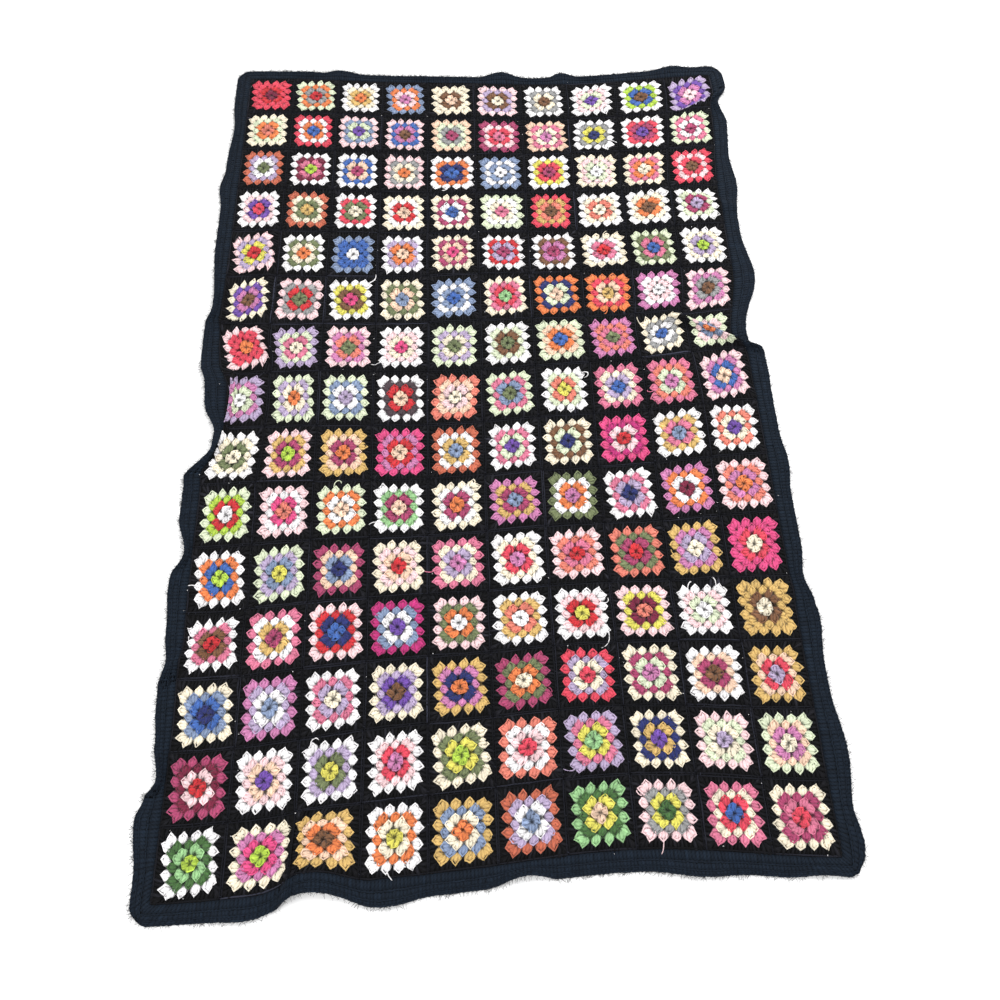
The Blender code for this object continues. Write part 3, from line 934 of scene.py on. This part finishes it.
MOTTLE = (0.14, 0.09, 0.07, 0.05)    # how far the strands' shades stray, round by round
# Painted shade: closed-in points of the coloured yarn darken down to 0.12 of their colour, and the gaps
# between its loops to 0.3.
coloured_yarn = yarn_material("coloured yarn", 0.12, 0.12, hole_shade=0.7)
left_post = np.array(SIDE_POST) * [-1, 1, 1, 1, 1, 1]
coloured_cluster = np.stack([left_post, MIDDLE_POST, SIDE_POST, CHAIN])
coloured_corner = np.array([CORNER_INNER_POST, CORNER_MIDDLE_POST, CORNER_OUTER_POST, CORNER_CHAIN])
for column in range(SQUARES_ACROSS):
    made = [clusters(number, [column], coloured_cluster, coloured_corner, MOTTLE[number - 1])
            for number in range(1, COLOURED_ROUNDS + 1)]
    strand_piece(f"coloured_rounds_{column + 1}", made, coloured_yarn)


# ---- The black round and the seams ----
# The fifth round is black in every square: its clusters fill the notches of the
# fourth and spread to a straight edge, and the squares are sewn together there.

# The last column is painted light, as in the coloured rounds: painted shade darkens each post's foot.
BLACK_MIDDLE_POST = [
    # side   out    up  width  thick  open
    (0.0,    1.5,  1.2,   1.3,   1.2,  0.5),
    (0.0,    9.0,  1.8,   3.2,   2.2,  1.0),
    (0.0,   16.8,  1.6,   3.0,   1.8,  0.8),
]
BLACK_SIDE_POST = [
    (1.2,    1.5,  1.2,   1.3,   1.2,  0.5),
    (6.0,    9.0,  1.6,   3.2,   2.0,  1.0),
    (6.6,   16.8,  1.5,   3.0,   1.7,  0.8),
]
BLACK_CORNER_POSTS = [
    [(-1.2,  1.5,  1.2,   1.3,   1.2,  0.5),
     (-5.2,  9.0,  1.6,   3.4,   2.0,  1.0),
     (-6.4, 16.8,  1.5,   3.2,   1.7,  0.8)],
    [(0.8,   1.5,  1.2,   1.3,   1.2,  0.5),
     (2.6,   9.4,  1.8,   3.6,   2.2,  1.0),
     (2.2,  16.8,  1.6,   3.8,   1.8,  0.8)],
    [(2.4,   2.0,  1.2,   1.4,   1.2,  0.5),
     (9.0,   9.8,  1.6,   4.0,   2.0,  1.0),
     (11.4, 16.8,  1.5,   4.6,   1.7,  0.8)],
]
BLACK_STRIPS = 5
BLACK_MOTTLE = 0.55

# Painted shade: closed-in points of the black yarn darken down to half their colour.
black_yarn = yarn_material("black yarn", 0.5, 0.0)
black_left_post = np.array(BLACK_SIDE_POST) * [-1, 1, 1, 1, 1, 1]
black_cluster = np.stack([black_left_post, BLACK_MIDDLE_POST, BLACK_SIDE_POST])
for strip, pair in enumerate(np.arange(SQUARES_ACROSS).reshape(BLACK_STRIPS, -1)):
    made = clusters(COLOURED_ROUNDS + 1, pair, black_cluster, np.array(BLACK_CORNER_POSTS),
                    BLACK_MOTTLE)
    strand_piece(f"black_rounds_{strip + 1}", [made], black_yarn)


def one_yarn(name, points, mottle, painted_light):
    """Colours for whole strands of one yarn: points is (strands, rings, 3, 3)."""
    colours = np.empty((*points.shape[:-1], 4))
    shade = random.lognormal(0, mottle, (len(points), 1, 1, 1))
    colours[..., :3] = yarn_colours[names.index(name)] * shade
    colours[..., 3] = painted_light
    return colours.reshape(-1, 4)


# Each side of each square ends in a chain, and two chains are oversewn together.
SEAM_CHAIN_IN = 1.5     # millimetres from the seam to the chain beside it
SEAM_CHAIN_RINGS = 8
SEAM_CHAIN_END = 0.495  # how far it runs either way from the middle, in shares of the square
SEAM_CHAIN_HEIGHT = 2.4     # millimetres, as are the rest
SEAM_CHAIN_SIZE = 1.3   # its thickness and half its width
SEAM_CHAIN_STRAY = 0.25
SEAM_STITCHES = 9       # to each side of a square
# out, to the side, up, and half the width and the thickness, all in millimetres
SEAM_STITCH = np.array([(-2.4, -0.9, 2.2, 0.7, 0.8), (0, 0, 3.6, 0.9, 1.0), (2.4, 0.9, 2.2, 0.7, 0.8)])

column, row, side = (value.ravel() for value in np.meshgrid(
    np.arange(SQUARES_ACROSS), np.arange(SQUARES_ALONG), np.arange(4), indexing="ij"))
path = np.zeros((len(side), SEAM_CHAIN_RINGS, 3))
path[..., 0] = np.linspace(-SEAM_CHAIN_END, SEAM_CHAIN_END, SEAM_CHAIN_RINGS) * SQUARE_WIDTH
path[..., 1] = SQUARE_WIDTH / 2 - SEAM_CHAIN_IN * MM
path[..., 1] += random.normal(0, SEAM_CHAIN_STRAY * MM, path.shape[:2])
path[..., 2] = random.normal(SEAM_CHAIN_HEIGHT, SEAM_CHAIN_STRAY, path.shape[:2]) * MM
chain_points = strands_in_square(column, row, side, path,
                                 random.normal(SEAM_CHAIN_SIZE, 0.15, path.shape[:2]) * MM,
                                 np.full(path.shape[:2], SEAM_CHAIN_SIZE * MM))

# A seam's stitches belong to the square on its left, and on its far side.
seams = [(column, row, side) for column in range(SQUARES_ACROSS) for row in range(SQUARES_ALONG)
         for side in (1, 2) if (side == 1 and column < SQUARES_ACROSS - 1)
         or (side == 2 and row < SQUARES_ALONG - 1)]
column, row, side = np.repeat(seams, SEAM_STITCHES, axis=0).T
path = np.repeat(SEAM_STITCH[None, :, 1::-1], len(side), axis=0)
path = np.concatenate([path, np.repeat(SEAM_STITCH[None, :, 2:3], len(side), axis=0)], axis=-1) * MM
place = np.tile((np.arange(SEAM_STITCHES) + 0.5) / SEAM_STITCHES - 0.5, len(seams))
path[..., 0] += (place * SQUARE_WIDTH + random.normal(0, 1.0 * MM, len(place)))[:, None]
path[..., 1] += SQUARE_WIDTH / 2
sizes = np.repeat(SEAM_STITCH[None, :, 3:] * MM, len(side), axis=0)
stitch_points = strands_in_square(column, row, side, path, sizes[..., 0], sizes[..., 1])

# The seam chains are painted a little in shade, at 0.9 open to the light; the stitches over them are fully
# open. Their black is a little lighter than the squares' black.
strand_piece("seams", [
    (chain_points, one_yarn("seam black", chain_points, BLACK_MOTTLE, 0.9)),
    (stitch_points, one_yarn("seam black", stitch_points, BLACK_MOTTLE, 1.0))],
    black_yarn)


# ---- The border ----
# Three rounds of trebles in blue-black yarn, worked all round the joined
# squares: a thin sheet as their ground, with the posts on it, and a ridge of
# chain where each round ends.

FAN = 0.6               # how far from a corner the posts start to fan out, in squares
SHEET_STEP = 0.1        # squares
EDGE = 0.96             # share of the border's width where the firm edge ends and fuzz begins
BORDER_THICKNESS = 1.8  # millimetres
BORDER_ROUNDS = [
    # the posts of each round, in millimetres out from the squares
    # from    to  height
    (0.5,   14.6,  2.1),
    (14.4,  25.0,  2.0),
    (24.8,  31.8,  1.8),
]
BORDER_POST = 6.0       # millimetres from post to post
POST_WIDTHS = (3.6, 4.2, 4.0)   # half the width of a post at its foot, middle and head
POST_THICKNESS = 0.45
POST_DIP = 0.3          # how much lower its foot and head lie
POST_STRAY = 0.5        # millimetres to either side
LINK_WIDTHS = (0.8, 1.25)   # how wide the narrow and the wide rings of a chain are, against its width
BORDER_MOTTLE = 0.11
BORDER_CHAINS = [
    # out, half width, height and thickness, in millimetres
    (15.4,   1.5,  2.3,  1.0),
    (25.2,   1.3,  2.0,  0.9),
    (31.6,   1.6,  1.6,  1.6),
]
CHAIN_RINGS = 8
CHAIN_STEP = 3.0        # millimetres from ring to ring
PERIMETER = 2 * (SQUARES_ACROSS + SQUARES_ALONG)


def round_border(place, out):
    """across and along of a point of the border.

    place is the way round the seam in squares, clockwise from the far left
    corner. out is the share of the border's width. Near a corner the lines
    spread, so that they meet on its diagonal.
    """
    place = np.mod(place, PERIMETER)
    ends = np.cumsum([0, SQUARES_ACROSS, SQUARES_ALONG, SQUARES_ACROSS])
    side = np.digitize(place, ends[1:])
    length = np.where(side % 2 == 0, SQUARES_ACROSS, SQUARES_ALONG)
    on = place - ends[side]
    wide = np.where(side % 2 == 0, BORDER_ACROSS, BORDER_ALONG) * out
    deep = np.where(side % 2 == 0, BORDER_ALONG, BORDER_ACROSS) * out
    spread = np.clip((on - length + FAN) / FAN, 0, 1) - np.clip((FAN - on) / FAN, 0, 1)
    on = on + wide * spread
    across = np.choose(side, [on, SQUARES_ACROSS + deep, SQUARES_ACROSS - on, -deep])
    along = np.choose(side, [-deep, on, SQUARES_ALONG + deep, SQUARES_ALONG - on])
    return across, along


def into_border(points):
    """Carries points onto the border: the way round, out and up, all in metres."""
    across, along = round_border(points[..., 0] / SQUARE_WIDTH, points[..., 1] / BORDER_WIDTH)
    return on_cloth(across, along, points[..., 2])


place, out = np.meshgrid(np.arange(0, PERIMETER, SHEET_STEP), np.linspace(EDGE, 0, 4))
sheet_height = np.full(place.shape, BORDER_THICKNESS * MM)
# Painted shade: closed-in points of the border yarn darken down to 0.6 of their colour.
border_yarn = yarn_material("border yarn", 0.6, 0.0)
border = closed_sheet("border_ground", on_cloth(*round_border(place, out), sheet_height),
                      lie(*round_border(place, out)), True, border_yarn, border_yarn)
# The border's ground lies under its posts: painted shade, at 0.3 open to the light.
set_colours(border, np.tile([*yarn_colours[names.index("blue black")], 0.3], (len(border.data.vertices), 1)))
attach(border, "root")
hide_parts("crochet_border")

around = PERIMETER * SQUARE_WIDTH
border_strands = []
for start, end, height in BORDER_ROUNDS:
    place = np.arange(0, around, BORDER_POST * MM)
    path = np.zeros((len(place), 3, 3))
    path[..., 0] = place[:, None] + random.normal(0, POST_STRAY * MM, (len(place), 3))
    path[..., 1] = np.array([start, (start + end) / 2, end]) * MM
    path[..., 2] = np.array([height - POST_DIP, height, height - POST_DIP]) * MM
    width = np.array(POST_WIDTHS) * random.normal(1, 0.06, (len(place), 1)) * MM
    rings = into_border(strands(path, width, np.full(width.shape, POST_THICKNESS * MM)))
    border_strands.append((rings, one_yarn("blue black", rings, BORDER_MOTTLE, 0.95)))
for out, half, height, thick in BORDER_CHAINS:
    place = np.arange(0, around, CHAIN_STEP * (CHAIN_RINGS - 1) * MM)
    path = np.zeros((len(place), CHAIN_RINGS, 3))
    path[..., 0] = place[:, None] + np.arange(CHAIN_RINGS) * CHAIN_STEP * MM
    path[..., 1] = random.normal(out, 0.3, (len(place), CHAIN_RINGS)) * MM
    path[..., 2] = random.normal(height, 0.2, (len(place), CHAIN_RINGS)) * MM
    link_width = half * np.array(LINK_WIDTHS)[np.arange(CHAIN_RINGS) % 2]
    width = link_width * random.normal(1, 0.08, (len(place), 1)) * MM
    rings = into_border(strands(path, width, np.full(width.shape, thick * MM)))
    border_strands.append((rings, one_yarn("blue black", rings, BORDER_MOTTLE, 1.0)))
border_pieces = [strand_piece("border_stitches", border_strands, border_yarn)]


# ---- Loose ends, fuzz and lint ----
# Ends of yarn that were never darned in, loose fibres along the border's outer
# edge, and bits of pale lint caught in the black.

# Each end comes out of the last coloured round of its square, on its far side
# (0), right (1), near (2) or left (3), anywhere along that side's middle. It sets
# off at slant degrees from straight out, and turns by curl degrees along its
# length in millimetres.
TAILS = [
    # column row side slant  curl length
    (4,  15,  2,    10,   -60,   18),
    (4,  15,  2,    60,   240,   14),
    (3,  14,  0,   -20,   150,   22),
    (1,  12,  3,    40,    60,   16),
    (1,  11,  3,    30,   -50,   14),
    (5,  11,  3,   -60,   120,   30),
    (4,  12,  0,     0,   200,   14),
    (8,  15,  2,     0,    30,   20),
    (9,  12,  0,    20,   -80,   16),
    (9,  12,  0,   -10,    90,   14),
    (7,  12,  1,    60,   100,   38),
    (7,  12,  1,    30,  -140,   14),
    (7,  14,  3,   -50,    80,   14),
    (8,  15,  3,     0,    90,   12),
    (9,  11,  3,    50,    30,   16),
    (6,  13,  1,     0,   120,   12),
    (3,  10,  0,   -40,   190,   26),
    (4,  10,  3,    20,   -60,   16),
    (4,   7,  3,   -40,    60,   20),
    (5,   3,  2,    30,    60,   20),
    (3,   6,  1,   -30,   -70,   26),
    (9,   7,  3,    50,    30,   26),
    (8,   6,  2,   -10,    90,   14),
    (6,   2,  2,    20,   170,   28),
    (9,   8,  3,   -30,    90,   14),
    (8,   5,  0,   -10,    80,   12),
    (7,   8,  1,   -40,   200,   22),
    (8,   2,  1,    10,    60,   14),
]
TAIL_RINGS = 8
TAIL_PLACE = 0.35       # how far along its side a tail may start, in shares of the square
TAIL_ROOT = 0.37        # how far out a tail starts, in shares of the square
TAIL_HEIGHT = 3.2       # millimetres above the underside
TAIL_THICKNESS = (1.1, 1.2, 1.1, 1.0, 1.0, 0.9, 0.9, 0.6)   # and half its width, from root to tip

column, row, side = (np.array([tail[k] for tail in TAILS]) for k in range(3))
slant, curl, length = np.array([tail[3:] for tail in TAILS], dtype=float).T[..., None]
place = random.uniform(-TAIL_PLACE, TAIL_PLACE, (len(TAILS), 1))
along_it = np.linspace(0, 1, TAIL_RINGS)
heading = np.radians(slant + curl * along_it)
step = length * MM / (TAIL_RINGS - 1)
path = np.stack([place * SQUARE_WIDTH + np.cumsum(np.sin(heading), axis=1) * step,
                 TAIL_ROOT * SQUARE_WIDTH + np.cumsum(np.cos(heading), axis=1) * step,
                 (TAIL_HEIGHT + random.normal(0, 0.4, heading.shape)) * MM], axis=-1)
thin = np.broadcast_to(np.array(TAIL_THICKNESS) * MM, heading.shape)
tails = strands_in_square(column - 1, row - 1, side, path, thin, thin)
tail_colours = np.ones((*tails.shape[:-1], 4))
tail_colours[..., :3] = yarn_colours[yarn_of[column - 1, row - 1, COLOURED_ROUNDS - 1]][:, None, None]
strand_piece("loose_ends", [(tails, tail_colours.reshape(-1, 4))], coloured_yarn)

LINT = 90
LINT_SIZE = (0.5, 1.1)  # half the size, in millimetres
LINT_ON_SEAMS = 0.6     # the share of it that is caught along the seams
LINT_HEIGHT = 3.6       # millimetres above the underside
LINT_LENGTH = 1.3       # how long a speck is, against its width
LINT_TIP = 0.15         # how wide its ends are, against its middle

across = random.uniform(-0.1, SQUARES_ACROSS + 0.1, LINT)
along = random.uniform(-0.1, SQUARES_ALONG + 0.1, LINT)
caught = random.random((2, LINT)) < LINT_ON_SEAMS
across = np.where(caught[0], np.rint(across) + random.normal(0, 0.05, LINT), across)
along = np.where(~caught[0], np.rint(along) + random.normal(0, 0.05, LINT), along)
size = random.uniform(*LINT_SIZE, (LINT, 1)) * MM
turn = random.uniform(0, 2 * np.pi, (LINT, 1))
centre = on_cloth(across, along, np.full(LINT, LINT_HEIGHT * MM))
to_end = np.concatenate([np.cos(turn), np.sin(turn), np.zeros((LINT, 1))], axis=1) * size * LINT_LENGTH
path = np.stack([centre - to_end, centre, centre + to_end], axis=1)
wide = size * [LINT_TIP, 1, LINT_TIP]
specks = strands(path, wide, wide)
strand_piece("lint", [(specks, one_yarn("white", specks, 0.1, 1.0))],
                                 coloured_yarn)

FUZZ = [
    # yarn       thickness  fibres  how many on the far, right, near and left side
    ("grey",          0.30,   1700,  (0.52, 0.12, 0.06, 0.30)),
    ("charcoal",      0.14,   1500,  (0.15, 0.30, 0.30, 0.25)),
]
FUZZ_LENGTH = (3, 10)   # millimetres, as the thickness is
FUZZ_ROOT = 0.97        # share of the border's width where the fibres stand
FUZZ_BEHIND = 0.6       # and of a place inside it, which they point away from
FUZZ_SLANT = 1.2        # the most they slant to either side, in radians
FUZZ_ROOT_HEIGHT = (1, 3)   # millimetres, as are the next two
FUZZ_TIP_STRAY = 1.5    # how far the tips stray up or down
FUZZ_TIP_LOWEST = 0.5

side_ends = np.cumsum([0, SQUARES_ACROSS, SQUARES_ALONG, SQUARES_ACROSS, SQUARES_ALONG])
fuzz_strands = []
for yarn, thickness, fibres, shares in FUZZ:
    side = random.choice(4, fibres, p=shares)
    place = side_ends[side] + random.random(fibres) * np.diff(side_ends)[side]
    root_height = random.uniform(*FUZZ_ROOT_HEIGHT, fibres) * MM
    roots = on_cloth(*round_border(place, np.full(fibres, FUZZ_ROOT)), root_height)
    behind = on_cloth(*round_border(place, np.full(fibres, FUZZ_BEHIND)), np.full(fibres, 2 * MM))
    outward = roots - behind
    outward[:, 2] = 0
    outward /= np.linalg.norm(outward, axis=1, keepdims=True)
    sideways = np.cross(outward, (0, 0, 1))
    slant = random.uniform(-FUZZ_SLANT, FUZZ_SLANT, (fibres, 1))
    length = random.uniform(*FUZZ_LENGTH, (fibres, 1)) * MM
    tips = roots + length * (np.cos(slant) * outward + np.sin(slant) * sideways)
    tips[:, 2] += random.normal(0, FUZZ_TIP_STRAY, fibres) * MM
    tips[:, 2] = np.maximum(tips[:, 2], FUZZ_TIP_LOWEST * MM)
    thin = np.full((fibres, 2), thickness * MM)
    hairs = strands(np.stack([roots, tips], axis=1), thin, thin)
    # The fibres are painted in shade, at 0.4 open to the light.
    fuzz_strands.append((hairs, one_yarn(yarn, hairs, 0.2, 0.4)))
border_pieces.append(strand_piece("border_fuzz", fuzz_strands, border_yarn))


# ---- Floor, light and camera ----
# A pale floor under soft, even light, and the view from above the near end.

FLOOR_HALF = 4          # metres from the middle to each side
FLOOR_HEIGHT = -0.0005  # a hair under the cloth

floor_mesh = bpy.data.meshes.new("floor")
floor_mesh.from_pydata([(x * FLOOR_HALF, y * FLOOR_HALF, FLOOR_HEIGHT)
                        for x, y in ((-1, -1), (1, -1), (1, 1), (-1, 1))], [], [(0, 1, 2, 3)])
floor = bpy.data.objects.new("floor", floor_mesh)
bpy.context.scene.collection.objects.link(floor)
floor_paint = bpy.data.materials.new("floor paint")
floor_paint.use_nodes = True
floor_shader = floor_paint.node_tree.nodes["Principled BSDF"]
floor_shader.inputs["Base Color"].default_value = (0.93, 0.93, 0.93, 1)
floor_shader.inputs["Roughness"].default_value = 0.9
floor_mesh.materials.append(floor_paint)

world = bpy.data.worlds.new("studio")
world.use_nodes = True
sky = world.node_tree.nodes["Background"]
sky.inputs["Color"].default_value = (1, 1, 1, 1)
sky.inputs["Strength"].default_value = 0.95
bpy.context.scene.world = world


def soft_light(name, place, size, power):
    """A square area light, aimed at the middle of the blanket."""
    light = bpy.data.lights.new(name, "AREA")
    light.size = size
    light.energy = power
    lamp = bpy.data.objects.new(name, light)
    lamp.location = place
    lamp.rotation_euler = (-Vector(place)).to_track_quat("-Z", "Y").to_euler()
    bpy.context.scene.collection.objects.link(lamp)


soft_light("key light", (1.6, 1.4, 2.6), 1.6, 70)
soft_light("fill light", (-1.8, -1.2, 2.4), 2.0, 25)

CAMERA_PLACE = (-0.0018, -0.8603, 1.4385)
CAMERA_DOWN = 66.8      # degrees below level
CAMERA_YAW = -1.4
CAMERA_ROLL = -0.7
CAMERA_LENS = 28.8

camera_data = bpy.data.cameras.new("camera")
camera_data.lens = CAMERA_LENS
camera_data.sensor_width = 36
camera = bpy.data.objects.new("camera", camera_data)
turn_to_view = (Matrix.Rotation(np.radians(CAMERA_YAW), 4, "Z")
                @ Matrix.Rotation(np.radians(90 - CAMERA_DOWN), 4, "X")
                @ Matrix.Rotation(np.radians(CAMERA_ROLL), 4, "Z"))
camera.matrix_world = Matrix.Translation(CAMERA_PLACE) @ turn_to_view
bpy.context.scene.collection.objects.link(camera)
bpy.context.scene.camera = camera
bpy.context.scene.view_settings.view_transform = "Standard"
